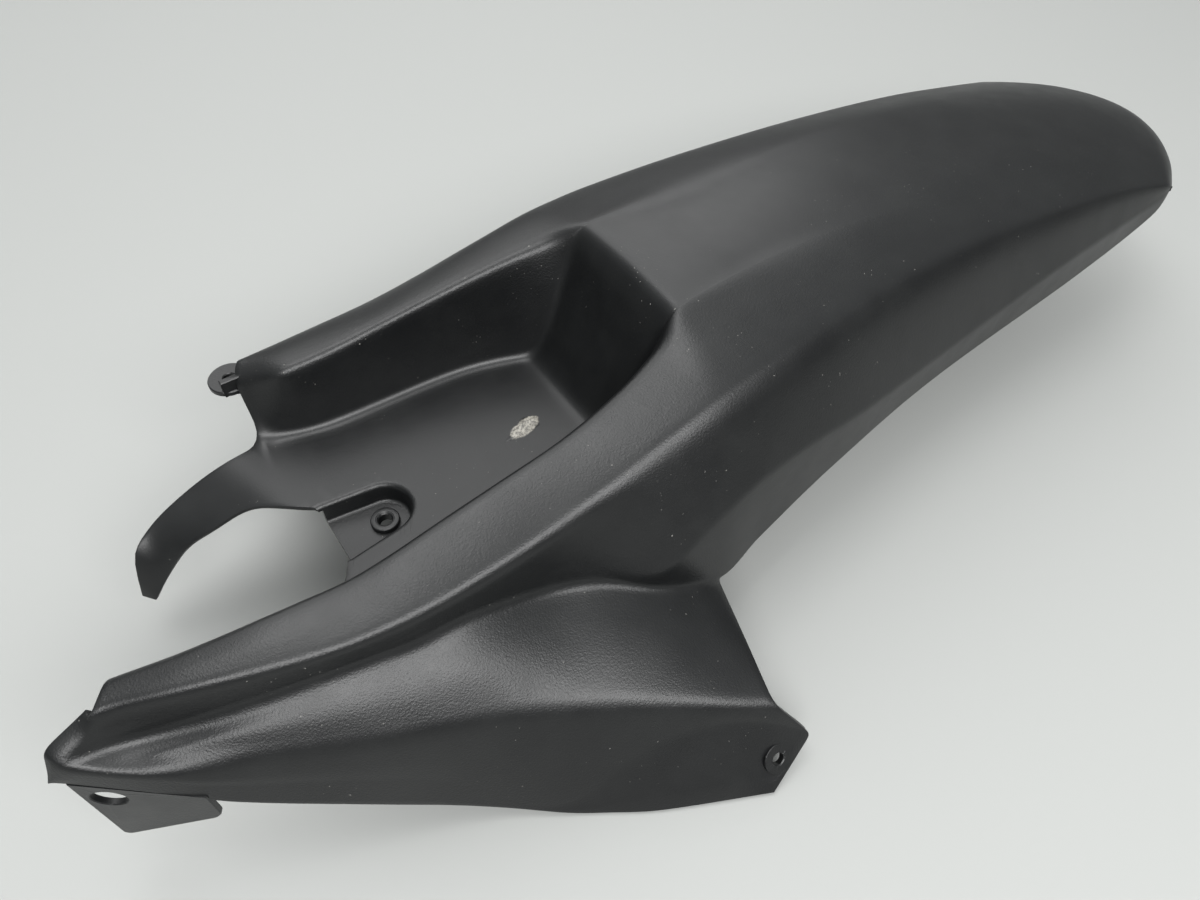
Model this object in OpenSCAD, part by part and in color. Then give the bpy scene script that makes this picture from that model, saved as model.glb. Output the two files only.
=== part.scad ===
// Rear hugger mudguard of a motorcycle, moulded in one piece: a long tail over the wheel, a pocket that
// clears the shock absorber, two arms, a curved tongue in front of the pocket floor and a flared side skirt.
// X runs to the rear, Y to the right-hand side and Z up. The origin is the top of the screw boss on the
// pocket floor. The shape is worked out from the wheel's middle plane and the height of the tail corners.

/* [Lengths along the wheel] */
// From the floor screw forward to the nose of the left arm
nose_reach = 153; // [140:1:170]
// From the floor screw forward to the front edge of the floor
floor_reach = 23; // [18:1:26]
// From the floor screw back to the rear edge of the pocket
pocket_len = 130; // [120:1:145]
// From the rear edge of the pocket to the tail corners
tail_len = 382; // [330:2:440]
// How far the end of the tail bows past its corners
tail_bow = 49; // [20:1:60]

/* [Widths] */
// Over the two shoulder ridges, beside the pocket
arm_w = 180; // [168:1:192]
// Over the two shoulder ridges, at the narrowest place of the tail
waist_w = 139; // [128:1:148]
// Over the two tail corners
tail_w = 149; // [136:1:160]
// Over the tail's hems, just behind the skirt
hem_w = 220; // [210:1:232]
// Inner width of the pocket at its rim
pocket_w = 116; // [104:1:124]
// Width of the pocket floor where it meets the rear wall
floor_w = 76; // [66:1:84]
// From the wheel's middle plane to the lowest corner of the left skirt
skirt_reach = 200; // [185:1:215]
// From the wheel's middle plane to the hem of the right skirt
right_reach = 124; // [114:1:134]

/* [Heights] */
// Top of the tail behind the pocket, over the tail corners
crown_h = 58; // [50:1:66]
// Rim of the pocket at its middle, over the tail corners
rim_h = 31; // [26:1:36]
// Shoulder ridge at the highest place of the tail, over the tail corners
ridge_h = 45; // [38:1:50]
// Pocket floor, below the tail corners
floor_drop = 15; // [10:1:20]
// Hem of the skirts, below the tail corners
skirt_drop = 95; // [85:1:105]

/* [Skin] */
// Thickness of the moulded wall
wall = 2.8; // [2:0.1:3.4]
// Length of the round at the pocket rim
rim_round = 7; // [4:0.5:9]
// Length of the round at the shoulder ridge
ridge_round = 12; // [8:0.5:14]
// Length of the round at the long edge of the skirt
edge_round = 13; // [8:0.5:15]
// Length of the round where the pocket walls meet the floor
foot_round = 6; // [3:0.5:8]

/* [Tongue] */
// From its root at the floor to its tip
tongue_len = 81; // [70:1:90]
// Width of the tongue in its middle
tongue_w = 24; // [20:1:28]
// How far the tip hangs below the floor
tongue_drop = 55; // [45:1:62]

/* [Floor recess] */
// Width of the recess round the screw boss
recess_w = 27; // [24:1:30]
// Width of the recess where it opens to the front
recess_mouth_w = 33; // [30:1:36]
// Depth of the recess
recess_depth = 11; // [8:0.5:14]
// Outer diameter of the screw boss
boss_d = 14; // [12:0.5:18]
// Height of the screw boss over the recess
boss_h = 2.5; // [1.5:0.5:4]
// Diameter of the screw hole in the floor
floor_hole_d = 6.5; // [5:0.5:8]
// Distance of the floor screw from the wheel's middle plane
floor_hole_y = 10; // [8:0.5:12]

/* [Flap of the skirt] */
// From the floor screw back to the screw hole in the flap
flap_hole_x = 100; // [94:1:104]
// Diameter of the screw hole in the flap
flap_hole_d = 6; // [5:0.5:8]
// Diameter of the flat pad round it
flap_pad_d = 15; // [12:0.5:18]
// How far the pad stands proud of the skin
flap_pad_lift = 0.5; // [0.3:0.1:0.8]

/* [Right lug] */
// From the floor screw forward to the lug's screw hole
lug_reach = 31; // [29:0.5:36]
// Diameter of the round lug on the right arm
lug_d = 21; // [20:0.5:26]
// Thickness of the lug
lug_t = 3; // [2:0.5:4]
// How far the top of the lug lies below the shoulder ridge
lug_drop = 7.5; // [6:0.5:9]
// Diameter of its screw hole
lug_hole_d = 6; // [5:0.5:8]

/* [Nose tab] */
// Length of the tab under the nose
tab_len = 47; // [44:1:54]
// How far its front corner hangs below the tail corners
tab_drop = 68; // [60:1:74]
// Thickness of the tab
tab_t = 2.8; // [2:0.1:4]
// Diameter of its grommet hole
tab_hole_d = 14; // [10:0.5:16]

/* [Hidden] */
eps = 0.01;
round_steps = 3;

// Stations along the wheel: -1 is the nose, 0 the floor screw, 1 the rear edge of the pocket, 2 the tail corners
function station(s) = s < 0 ? s * nose_reach : s < 1 ? s * pocket_len : pocket_len + (s - 1) * tail_len;

// Smooth curve through knots [x, y, z], looked up by x
function knot_slope(knots, i, c) =
    let (a = knots[max(i - 1, 0)], b = knots[min(i + 1, len(knots) - 1)]) (b[c] - a[c]) / (b[0] - a[0]);
function span(knots, x, i = 0) = i >= len(knots) - 2 || x < knots[i + 1][0] ? i : span(knots, x, i + 1);
function hermite(knots, i, x, c) =
    let (
        length = knots[i + 1][0] - knots[i][0],
        t = (x - knots[i][0]) / length,
        slope_a = knot_slope(knots, i, c) * length,
        slope_b = knot_slope(knots, i + 1, c) * length
    )
    (2 * t ^ 3 - 3 * t ^ 2 + 1) * knots[i][c] + (t ^ 3 - 2 * t ^ 2 + t) * slope_a
        + (3 * t ^ 2 - 2 * t ^ 3) * knots[i + 1][c] + (t ^ 3 - t ^ 2) * slope_b;
function curve(knots, x) =
    let (last = len(knots) - 1)
    x <= knots[0][0] ? [x, knots[0][1], knots[0][2]]
    : x >= knots[last][0] ? [x, knots[last][1], knots[last][2]]
    : let (i = span(knots, x)) [x, hermite(knots, i, x, 1), hermite(knots, i, x, 2)];

// A rail is a row of [station, share of a half width, share of a height]
function rail(shape, half_width, height) =
    [for (k = shape) [station(k[0]), k[1] * half_width, k[2] * height]];
rim = concat(
    rail([[-0.82, 0.79, 0.5], [-0.6, 0.91, 0.63], [-0.44, 0.98, 0.71], [-0.23, 1.02, 0.7], [-0.08, 1.03, 0.79],
          [0.1, 1, 0.87], [0.33, 0.98, 1], [0.55, 0.96, 1.13], [0.78, 0.9, 1.32], [1, 0.79, 1.55]],
         pocket_w / 2, rim_h),
    rail([[1.045, 0.56, 0.95], [1.18, 0.56, 0.96], [1.34, 0.6, 0.93], [1.53, 0.64, 0.83], [1.7, 0.64, 0.66],
          [1.86, 0.62, 0.44], [2, 0.58, 0.22], [2.1, 0.54, 0.02]],
         waist_w / 2, crown_h));
ridge = concat(
    rail([[-0.86, 0.63, 0.38], [-0.67, 0.77, 0.4], [-0.35, 0.93, 0.35], [-0.11, 0.99, 0.35], [0.12, 1, 0.38],
          [0.35, 0.99, 0.44], [0.59, 0.966, 0.59], [0.84, 0.927, 0.77]],
         arm_w / 2, ridge_h),
    rail([[1.03, 1.16, 0.91], [1.17, 1.08, 1], [1.32, 1.02, 0.99], [1.5, 1, 0.86], [1.71, 1, 0.6],
          [1.88, 1.01, 0.29]],
         waist_w / 2, ridge_h),
    rail([[2, 1, 0]], tail_w / 2, ridge_h));
// The crest over the skirt runs on as the hem of the tail
crest = concat(
    rail([[-0.995, 0.685, 0.04], [-0.84, 0.7, -0.05], [-0.58, 0.84, -0.01], [-0.38, 0.925, 0.01],
          [-0.23, 0.97, 0], [-0.13, 0.995, -0.02], [0, 1, -0.02], [0.32, 1.015, -0.16], [0.49, 1.09, -0.22],
          [0.67, 1.22, -0.33]],
         arm_w / 2, skirt_drop),
    rail([[0.94, 1.05, -0.5], [1.06, 0.985, -0.5], [1.2, 0.9, -0.44], [1.43, 0.785, -0.4], [1.78, 0.72, -0.3]],
         hem_w / 2, skirt_drop),
    rail([[1.96, 1.02, -0.17], [2.005, 1.01, -0.03]], tail_w / 2, skirt_drop));
// The long edge between the upper and the lower face of the skirt
edge = rail([[-1, 0.315, 0.005], [-0.82, 0.395, -0.1], [-0.58, 0.47, -0.16], [-0.33, 0.55, -0.23],
             [-0.03, 0.62, -0.315], [0.25, 0.69, -0.4], [0.38, 0.735, -0.44], [0.81, 0.885, -0.6]],
            skirt_reach, skirt_drop);
hem = rail([[-1.04, 0.3, -0.095], [-0.86, 0.39, -0.23], [-0.72, 0.455, -0.38], [-0.4, 0.575, -0.66],
            [-0.22, 0.64, -0.82], [-0.08, 0.7, -0.93], [0.07, 0.775, -0.99], [0.18, 0.82, -1], [0.32, 0.878, -1],
            [0.71, 1, -1]],
           skirt_reach, skirt_drop);
// The plain hem of the hidden right side, up to the place where the tail is the same on both sides
right_hem = concat(
    rail([[-0.16, 0.87, -0.74], [0.15, 0.95, -0.95], [0.48, 1, -1], [0.56, 1, -1], [1.38, 1, -1],
          [1.44, 1, -1], [1.52, 0.93, -0.9], [1.64, 0.8, -0.6]],
         right_reach, skirt_drop),
    rail([[1.78, 0.72, -0.3]], hem_w / 2, skirt_drop),
    rail([[1.96, 1.02, -0.17], [2.005, 1.01, -0.03]], tail_w / 2, skirt_drop));
// Half width of the pocket floor, and the height of the tail's middle line
floor_edge = rail([[-0.31, 1.32, -1], [-0.2, 1.55, -1], [-0.1, 1.48, -1], [0.02, 1.37, -1], [0.56, 1.26, -1],
                   [0.82, 1, -1], [1, 0.66, -1], [2.1, 0.55, -1]],
                  floor_w / 2, floor_drop);
crown = rail([[1, 0, 0.86], [1.045, 0, 0.98], [1.18, 0, 1], [1.34, 0, 0.98], [1.53, 0, 0.89], [1.71, 0, 0.74],
              [1.86, 0, 0.54], [2, 0, 0.33], [2.13, 0, 0.05]],
             1, crown_h);

// The two long edges of the tongue, from its tip back to the floor, as shares of its sizes
tongue_root = station(-0.2);
tongue_middle_y = 57;
tongue_outer = [for (k = [[1.03, 0.82, -0.92], [0.985, 0.865, -0.54], [0.82, 0.985, -0.34], [0.56, 1.025, -0.155],
                          [0.28, 1.03, -0.02], [0, 1.053, 0]])
                [tongue_root - k[0] * tongue_len, k[1] * tongue_middle_y, -floor_drop + k[2] * tongue_drop]];
tongue_inner = [for (k = [[0.97, 0.64, -0.95], [0.84, 0.7, -0.69], [0.68, 0.8, -0.4], [0.5, 1, -0.22],
                          [0.26, 1.2, -0.06], [0.08, 1.68, 0], [-0.1, 2.17, 0]])
                [tongue_root - k[0] * tongue_len, tongue_middle_y - k[1] * tongue_w, -floor_drop + k[2] * tongue_drop]];

// The rear wall of the pocket is a ramp with a round foot and a round top
wall_foot_x = station(0.82);
wall_top_x = station(1.05);
ramp_round = 0.22;
function ramp(t) =
    let (v = min(max(t, 0), 1), gain = 1 / (1 - ramp_round))
    v < ramp_round ? gain * v * v / (2 * ramp_round)
    : v > 1 - ramp_round ? 1 - gain * (1 - v) * (1 - v) / (2 * ramp_round)
    : gain * (v - ramp_round / 2);

// A point of the floor or of the tail's top, at a share of the half width that is negative on the left
panel_line = [[wall_top_x, 0.93, 0], [station(1.2), 0.72, 0]];
function panel(x, share) =
    let (
        floor_y = curve(floor_edge, x)[1],
        side = curve(rim, x),
        middle = curve(crown, x)[2],
        t = ramp((x - wall_foot_x) / (wall_top_x - wall_foot_x)),
        top = middle + (side[2] - middle) * share * share
    )
    [x, share * (floor_y + (side[1] * curve(panel_line, x)[1] - floor_y) * t), -floor_drop + (top + floor_drop) * t];
// Two inner columns of the floor start at the corners of the recess and run to the middle of the rear wall
mid_share = 0.36;
function mid_panel(x, front_share) =
    let (t = min(max((x + floor_reach) / (wall_foot_x + floor_reach), 0), 1))
    panel(x, front_share + (sign(front_share) * mid_share - front_share) * t);

function left(knots, x) = let (p = curve(knots, x)) [x, -p[1], p[2]];
function right(knots, x) = curve(knots, x);
// A point between two rails, drawn in toward the wheel
function between(a, b, share, inward) =
    [a[0], a[1] + (b[1] - a[1]) * share - sign(a[1]) * inward, a[2] + (b[2] - a[2]) * share];

// The soft crease low on the tail's side leaves the crest and runs out toward the end of the tail
crease_x = station(0.65);
crease_deep = 5;
crease_line = [[crease_x, 0.94, 0], [station(0.92), 0.76, 0.7 * crease_deep], [station(1.12), 0.66, crease_deep],
               [station(1.45), 0.86, 0.4 * crease_deep], [station(2), 0.8, 0]];
function crease_share(x) = x < crease_x ? 0.6 : curve(crease_line, x)[1];
function crease_depth(x) = curve(crease_line, x)[2];

// The lower face of the skirt bends out into a flap toward its rear corner
flap_line = [[station(0.1), 0.5, 0], [station(0.92), 0.65, 0]];
function flap_share(x) = curve(flap_line, x)[1];

// The shoulder of the right arm stands a little higher toward its front end
flare_start = station(-0.08);
rise_h = 3;
rise_end = station(0.6);
function shoulder_rise(x) = [0, 0, rise_h * min(max((rise_end - x) / (rise_end - flare_start), 0), 1)];

// The rim of the right arm runs out to the shoulder at its front end
flare_end = station(-0.2);
flare_out = 19;
flare_drop = 8;
function rim_flare(x) = [0, flare_out, -flare_drop] * min(max((x - flare_start) / (flare_end - flare_start), 0), 1);

// The inner wall of the left arm gets lower toward the nose
flange_front = station(-0.8);
flange_back = station(-0.31);
flange_h = 8;
flange_lean = 2;
flange_back_lean = 7;
function inner_flange(x) =
    let (top = left(rim, x), t = max((x - flange_front) / (flange_back - flange_front), 0))
    [x, top[1] + flange_lean + (flange_back_lean - flange_lean) * t,
     top[2] - flange_h - (top[2] - flange_h + floor_drop) * t];

// Columns of the skin, from the hem of the right side over the tail to the hem of the left skirt
right_hem_col = 0;
right_crease_col = 1;
right_ridge_col = 2;
right_rim_col = 3;
right_foot_col = 4;
right_mid_col = 5;
left_mid_col = 6;
left_foot_col = 7;
left_rim_col = 8;
left_ridge_col = 9;
left_crease_col = 10;
crest_col = 11;
edge_col = 12;
flap_col = 13;
hem_col = 14;
function skin(j, x) =
    j == right_hem_col ? right(right_hem, x)
    : j == right_crease_col
        ? between(right(ridge, x), right(right_hem, x), crease_share(max(x, crease_x)), crease_depth(x))
    : j == right_ridge_col ? right(ridge, x) + shoulder_rise(x)
    : j == right_rim_col ? right(rim, x) + rim_flare(x)
    : j == right_foot_col ? panel(x, 1)
    : j == right_mid_col ? mid_panel(x, 0.12)
    : j == left_mid_col ? mid_panel(x, -0.47)
    : j == left_foot_col ? (x < flange_back ? inner_flange(x) : panel(x, -1))
    : j == left_rim_col ? left(rim, x)
    : j == left_ridge_col ? left(ridge, x)
    : j == left_crease_col ? between(left(ridge, x), left(crest, x), crease_share(x), crease_depth(x))
    : j == crest_col ? left(crest, x)
    : j == edge_col ? left(edge, x)
    : j == flap_col ? between(left(edge, x), left(hem, x), flap_share(x), 0)
    : left(hem, x);

// The X of each column on the lines that bound the parts
function tail_end_x(share) = station(2) + tail_bow * (1 - (2 * share) ^ 2);
nose_line = [for (s = [0, 0, 0, 0, 0, 0, -0.8, -0.8, -0.82, -0.865, -0.93, -0.995, -1, -1.02, -1.04]) station(s)];
front_line = [for (j = [right_hem_col:hem_col])
    j == right_hem_col ? station(-0.16)
    : j < right_rim_col ? station(-0.15)
    : j < right_mid_col ? station(-0.2)
    : j < left_foot_col ? -floor_reach
    : j == left_foot_col ? flange_back
    : station(-0.33)];
foot_line = [for (s = [0.82, 0.82, 0.82, 0.82, 0.82, 0.82, 0.82, 0.82, 0.82, 0.84, 0.9, 0.94, 0.81, 0.92, 0.71])
    station(s)];
top_line = [for (j = [right_hem_col:hem_col]) station(1.08)];
end_line = [station(2.005), station(2.003), station(2), tail_end_x(0.29), tail_end_x(0.2), tail_end_x(0.07),
            tail_end_x(0.07), tail_end_x(0.2), tail_end_x(0.29), station(2), station(2.003), station(2.005), 0, 0, 0];

// A row of the skin, at a share of the way from one bounding line to the next
function row(from, to, t) = [for (j = [right_hem_col:hem_col]) skin(j, from[j] + (to[j] - from[j]) * t)];
// The front rows hold the tongue and the left arm side by side
function along(knots, end_x, t) = curve(knots, knots[0][0] + (end_x - knots[0][0]) * t);
function front_row(t) =
    [for (j = [right_hem_col:hem_col])
        j <= right_foot_col ? along(tongue_outer, front_line[right_foot_col], t)
        : j < left_foot_col ? along(tongue_inner, front_line[right_mid_col], t)
        : skin(j, nose_line[j] + (front_line[j] - nose_line[j]) * t)];
// The nose ends in a narrow facet that faces forward, from the shoulder ridge down to the hem
facet_edge = rail([[-0.855, 0.255, 0.142], [-0.93, 0.265, 0.1], [-1.012, 0.275, 0.058], [-1.025, 0.288, 0],
                   [-1.035, 0.295, -0.047], [-1.05, 0.298, -0.1]],
                  skirt_reach, skirt_drop);
facet = [for (j = [right_hem_col:hem_col]) let (k = facet_edge[max(j - left_ridge_col, 0)]) [k[0], -k[1], k[2]]];

front_rows = [for (t = [0, 0.12, 0.25, 0.4, 0.55, 0.7, 0.85]) front_row(t)];
pocket_rows = [for (t = [0:0.125:0.99]) row(front_line, foot_line, t)];
wall_rows = [for (t = [0, 0.09, 0.17, 0.35, 0.52, 0.62, 0.7, 0.79, 0.9]) row(foot_line, top_line, t)];
tail_rows = [for (t = [0, 0.03, 0.07, 0.12, 0.2, 0.28, 0.36, 0.44, 0.52, 0.6, 0.68, 0.76, 0.84, 0.92, 1])
             row(top_line, end_line, t)];
base = concat([facet], front_rows, pocket_rows, wall_rows, tail_rows);
first_pocket = 1 + len(front_rows);
first_wall = first_pocket + len(pocket_rows);
first_tail = first_wall + len(wall_rows);

// How long the round is at each column, and how it softens toward the end of the tail
crest_round = 5;
crease_round = 8;
tail_rim_round = 18;
tail_ridge_round = 20;
function round_len(i, j) =
    let (fade = max(i - first_tail, 0) / (len(base) - 1 - first_tail))
    j == left_rim_col || j == right_rim_col ? rim_round + (tail_rim_round - rim_round) * min(1, 2 * fade)
    : j == left_ridge_col || j == right_ridge_col ? ridge_round + (tail_ridge_round - ridge_round) * fade
    : j == edge_col || j == flap_col ? edge_round
    : j == left_foot_col || j == right_foot_col ? foot_round
    : j == crest_col ? crest_round
    : crease_round;
function unit(v) = norm(v) < eps ? [0, 0, 1] : v / norm(v);
reach_share = 0.42;
function bend(a, b, c, length, t) =
    let (
        start = b + unit(a - b) * min(length, reach_share * norm(a - b)),
        end = b + unit(c - b) * min(length, reach_share * norm(c - b))
    )
    (1 - t) ^ 2 * start + 2 * t * (1 - t) * b + t ^ 2 * end;
function rounded(j) = j > right_hem_col && j < hem_col && j != right_mid_col && j != left_mid_col;
function smooth_row(i) =
    let (p = base[i])
    [for (j = [right_hem_col:hem_col])
        if (rounded(j))
            for (s = [0:round_steps]) bend(p[j - 1], p[j], p[j + 1], round_len(i, j), s / round_steps)
        else
            p[j]];
// The column of the smooth rows where a base column starts
function col(j) = j == 0 ? 0 : col(j - 1) + (rounded(j - 1) ? round_steps + 1 : 1);
cols = col(hem_col) + 1;
rows = len(base);
tongue_start = col(right_foot_col);
tongue_end = col(right_mid_col);
arm_start = col(left_foot_col) + round_steps;
facet_start = col(left_ridge_col) + round_steps;
tail_stop = col(crest_col) + round_steps;
function tongue_point(p, j) =
    let (t = (j - tongue_start) / (tongue_end - tongue_start))
    p[right_foot_col] + (p[right_mid_col] - p[right_foot_col]) * t;
outer = [for (i = [0:rows - 1])
    let (r = smooth_row(i))
    [for (j = [0:cols - 1])
        i > 0 && i < first_pocket && j >= tongue_start && j <= tongue_end ? tongue_point(base[i], j) : r[j]]];

// A cell of the skin lies between rows i and i + 1 and columns j and j + 1
function cell(i, j) =
    i < 0 || j < 0 || i >= rows - 1 || j >= cols - 1 ? false
    : i == 0 ? j >= facet_start
    : i < first_pocket ? (j >= tongue_start && j < tongue_end) || j >= arm_start
    : i < first_wall ? true
    : j < tail_stop;
function cell_normal(i, j) = unit(cross(outer[i + 1][j + 1] - outer[i][j], outer[i][j + 1] - outer[i + 1][j]));
function total(v, i = 0) = i >= len(v) ? [0, 0, 0] : v[i] + total(v, i + 1);
function inward(i, j) = unit(total([for (a = [i - 1, i]) for (b = [j - 1, j]) if (cell(a, b)) cell_normal(a, b)]));
inner = [for (i = [0:rows - 1]) [for (j = [0:cols - 1]) outer[i][j] + inward(i, j) * wall]];

// Points and faces of the closed skin: outside, inside and the rims between them
function out_point(i, j) = i * cols + j;
function in_point(i, j) = rows * cols + i * cols + j;
function strip(a, b, c, d) = [[a, b, c], [a, c, d]];
skin_points = concat([for (r = outer) for (p = r) p], [for (r = inner) for (p = r) p]);
skin_faces = [for (i = [0:rows - 2]) for (j = [0:cols - 2]) if (cell(i, j))
    let (
        a = out_point(i, j),
        b = out_point(i, j + 1),
        c = out_point(i + 1, j + 1),
        d = out_point(i + 1, j),
        e = in_point(i, j),
        f = in_point(i, j + 1),
        g = in_point(i + 1, j + 1),
        h = in_point(i + 1, j)
    )
    each concat(
        strip(a, d, c, b),
        strip(e, f, g, h),
        cell(i - 1, j) ? [] : strip(a, b, f, e),
        cell(i + 1, j) ? [] : strip(d, h, g, c),
        cell(i, j - 1) ? [] : strip(a, e, h, d),
        cell(i, j + 1) ? [] : strip(b, c, g, f))];
module skin_sheet() {
    polyhedron(points = skin_points, faces = skin_faces, convexity = 8);
}

// The recess in the floor, which is open to the front and runs round the screw boss at its rear end
module recess_plan(grow) {
    hull() {
        translate([0, -floor_hole_y]) circle(d = recess_w + 2 * grow, $fn = 32);
        translate([-floor_reach, -floor_hole_y - recess_mouth_w / 2 - grow])
            square([wall / 2, recess_mouth_w + 2 * grow]);
    }
}
recess_floor_z = -floor_drop - recess_depth;
module recess_shell() {
    translate([0, 0, recess_floor_z - wall])
        linear_extrude(recess_depth + wall / 2)
            recess_plan(wall);
}
module recess_hollow() {
    translate([0, 0, recess_floor_z])
        linear_extrude(recess_depth + wall)
            recess_plan(0);
    translate([-floor_reach - recess_mouth_w, -floor_hole_y - recess_mouth_w / 2, recess_floor_z])
        cube([recess_mouth_w + eps, recess_mouth_w, recess_depth + wall]);
}
module screw_boss() {
    translate([0, -floor_hole_y, recess_floor_z - wall / 2])
        cylinder(d = boss_d, h = boss_h + wall / 2, $fn = 48);
}
module floor_bore() {
    translate([0, -floor_hole_y, recess_floor_z - 2 * wall])
        cylinder(d = floor_hole_d, h = 2 * wall + 2 * boss_h, $fn = 48);
}

// The flat pad in the flap lies in the plane of the skirt's lower face
flap_hole_share = 0.7;
flap_top = left(edge, flap_hole_x);
flap_foot = left(hem, flap_hole_x);
flap_pos = flap_top + (flap_foot - flap_top) * flap_hole_share;
flap_tilt = atan2(flap_top[2] - flap_foot[2], flap_top[1] - flap_foot[1]);
module on_flap() {
    translate(flap_pos) rotate([flap_tilt, 0, 0]) children();
}
module flap_pad() {
    on_flap()
        translate([0, 0, -wall - flap_pad_lift])
            cylinder(d = flap_pad_d, h = wall + 2 * flap_pad_lift, $fn = 48);
}
module flap_bore() {
    on_flap() translate([0, 0, -2 * wall]) cylinder(d = flap_hole_d, h = 4 * wall, $fn = 48);
}

// The round lug in front of the right arm: a web and a cross wall tie it into the arm, and it has a short rib
shoulder = right(ridge, front_line[right_ridge_col]);
lug_z = shoulder[2] - lug_drop;
module at_lug() {
    translate([-lug_reach, shoulder[1] - wall / 2, lug_z - lug_t]) children();
}
module right_lug() {
    web_w = (lug_d - wall) / 2;
    rib_h = lug_t + lug_drop - wall / 3;
    cross_h = lug_t + lug_drop - wall * 0.6;
    seat = wall * 0.6;
    at_lug() {
        cylinder(d = lug_d, h = lug_t, $fn = 64);
        translate([0, -web_w - seat, 0]) cube([lug_d, web_w + 2 * seat, lug_t]);
        translate([-lug_t - wall, -web_w - wall / 6, 0]) cube([lug_d / 2, wall, rib_h]);
        translate([lug_d / 2 - wall, -web_w, 0]) cube([wall, web_w + wall / 2, cross_h]);
    }
}
module lug_bore() {
    at_lug() translate([0, 0, -lug_t]) cylinder(d = lug_hole_d, h = 3 * lug_t, $fn = 48);
}

// The upright tab inside the hem under the nose, seen from its outer side
tab_hem_front = left(hem, station(-1.013));
tab_hem_back = left(hem, station(-0.74));
tab_turn = atan2(tab_hem_front[1] - tab_hem_back[1], tab_hem_back[0] - tab_hem_front[0]);
tab_front = [tab_hem_front[0], tab_hem_front[1] + wall / 4, 0];
tab_bury = wall / 3;
tab_hole_x = 10;
tab_hole_drop = 26.5;
module on_tab() {
    translate(tab_front) rotate([0, 0, -tab_turn]) rotate([90, 0, 0]) children();
}
module nose_tab() {
    corner_r = 3;
    heel_r = 8;
    heel_drop = 45.6;
    top_front_drop = 11;
    top_back_drop = 29;
    on_tab()
        translate([0, 0, tab_bury - tab_t])
            linear_extrude(tab_t)
                hull() {
                    translate([corner_r, corner_r - tab_drop]) circle(r = corner_r, $fn = 32);
                    translate([tab_len - heel_r, -heel_drop]) circle(r = heel_r, $fn = 32);
                    translate([0, -top_front_drop]) square(wall / 3);
                    translate([tab_len - wall / 3, -top_back_drop]) square(wall / 3);
                }
}
module tab_bore() {
    on_tab() translate([tab_hole_x, -tab_hole_drop, -2 * tab_t])
        cylinder(d = tab_hole_d, h = 4 * tab_t, $fn = 48);
}

// The whole moulding, moved from the wheel's middle plane to the top of the screw boss
module mudguard() {
    color("#1c1d1f")
        translate([0, floor_hole_y, -recess_floor_z - boss_h])
            difference() {
                union() {
                    difference() {
                        union() {
                            skin_sheet();
                            recess_shell();
                        }
                        recess_hollow();
                    }
                    screw_boss();
                    flap_pad();
                    right_lug();
                    nose_tab();
                }
                floor_bore();
                flap_bore();
                lug_bore();
                tab_bore();
            }
}

mudguard();
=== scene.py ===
import math
import bpy
from mathutils import Matrix, Vector


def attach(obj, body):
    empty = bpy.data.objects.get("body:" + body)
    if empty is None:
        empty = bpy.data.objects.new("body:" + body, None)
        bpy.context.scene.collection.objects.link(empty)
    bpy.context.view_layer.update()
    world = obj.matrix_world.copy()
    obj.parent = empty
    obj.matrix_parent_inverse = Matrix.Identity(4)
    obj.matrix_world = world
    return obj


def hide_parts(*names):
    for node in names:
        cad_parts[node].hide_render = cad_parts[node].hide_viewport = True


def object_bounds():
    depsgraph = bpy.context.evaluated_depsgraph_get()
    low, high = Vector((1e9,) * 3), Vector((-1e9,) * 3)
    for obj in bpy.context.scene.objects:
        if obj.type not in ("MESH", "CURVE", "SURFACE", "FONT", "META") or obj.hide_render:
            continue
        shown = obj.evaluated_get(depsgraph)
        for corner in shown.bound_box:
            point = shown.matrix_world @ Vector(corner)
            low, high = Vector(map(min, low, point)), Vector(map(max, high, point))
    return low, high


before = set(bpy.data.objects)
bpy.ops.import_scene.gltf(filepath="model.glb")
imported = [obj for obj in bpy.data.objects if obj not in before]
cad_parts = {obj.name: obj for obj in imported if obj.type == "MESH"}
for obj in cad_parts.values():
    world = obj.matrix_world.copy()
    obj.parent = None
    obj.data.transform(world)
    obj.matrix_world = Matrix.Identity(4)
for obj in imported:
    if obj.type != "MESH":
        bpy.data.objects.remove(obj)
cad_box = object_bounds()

# The view: a camera held over the nose of the left arm, which looks down along the moulding to its tail.
# The picture is 1200 by 900, and the lens is given for a sensor 36 mm wide.
lens = 27.9
sensor_w = 36
nearest_seen = 0.01
camera_spot = (-0.0599, -0.2693, 0.3628)
camera_tilt = math.radians(39.45)
camera_turn = math.radians(-34.34)
bpy.ops.object.select_all(action="DESELECT")
bpy.ops.object.camera_add(location=camera_spot, rotation=(camera_tilt, 0, camera_turn))
camera = bpy.context.object
camera.name = "view_camera"
camera.data.lens = lens
camera.data.sensor_width = sensor_w
camera.data.clip_start = nearest_seen
bpy.context.scene.camera = camera

# The moulded skin: one sheet of black plastic, 2.8 mm thick, from the tongue and the nose to the tail.
# Sizes are in millimetres from the wheel's middle plane, the floor screw and the height of the tail corners.
# It is shaped along long rails, each of them a crease or an edge, with rounds where two faces meet.
MM = 0.001
floor_hole_y = 10
recess_depth = 11
boss_h = 2.5
floor_drop = 15
wheel_to_boss = Vector((0, floor_hole_y, floor_drop + recess_depth - boss_h))
nose_reach = 153
floor_reach = 23
pocket_len = 130
tail_len = 382
tail_bow = 49
arm_w = 180
waist_w = 139
tail_w = 149
hem_w = 220
pocket_w = 116
floor_w = 76
skirt_reach = 200
right_reach = 124
crown_h = 58
rim_h = 31
ridge_h = 45
skirt_drop = 95
wall = 2.8
tongue_len = 81
tongue_w = 24
tongue_drop = 55


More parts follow.
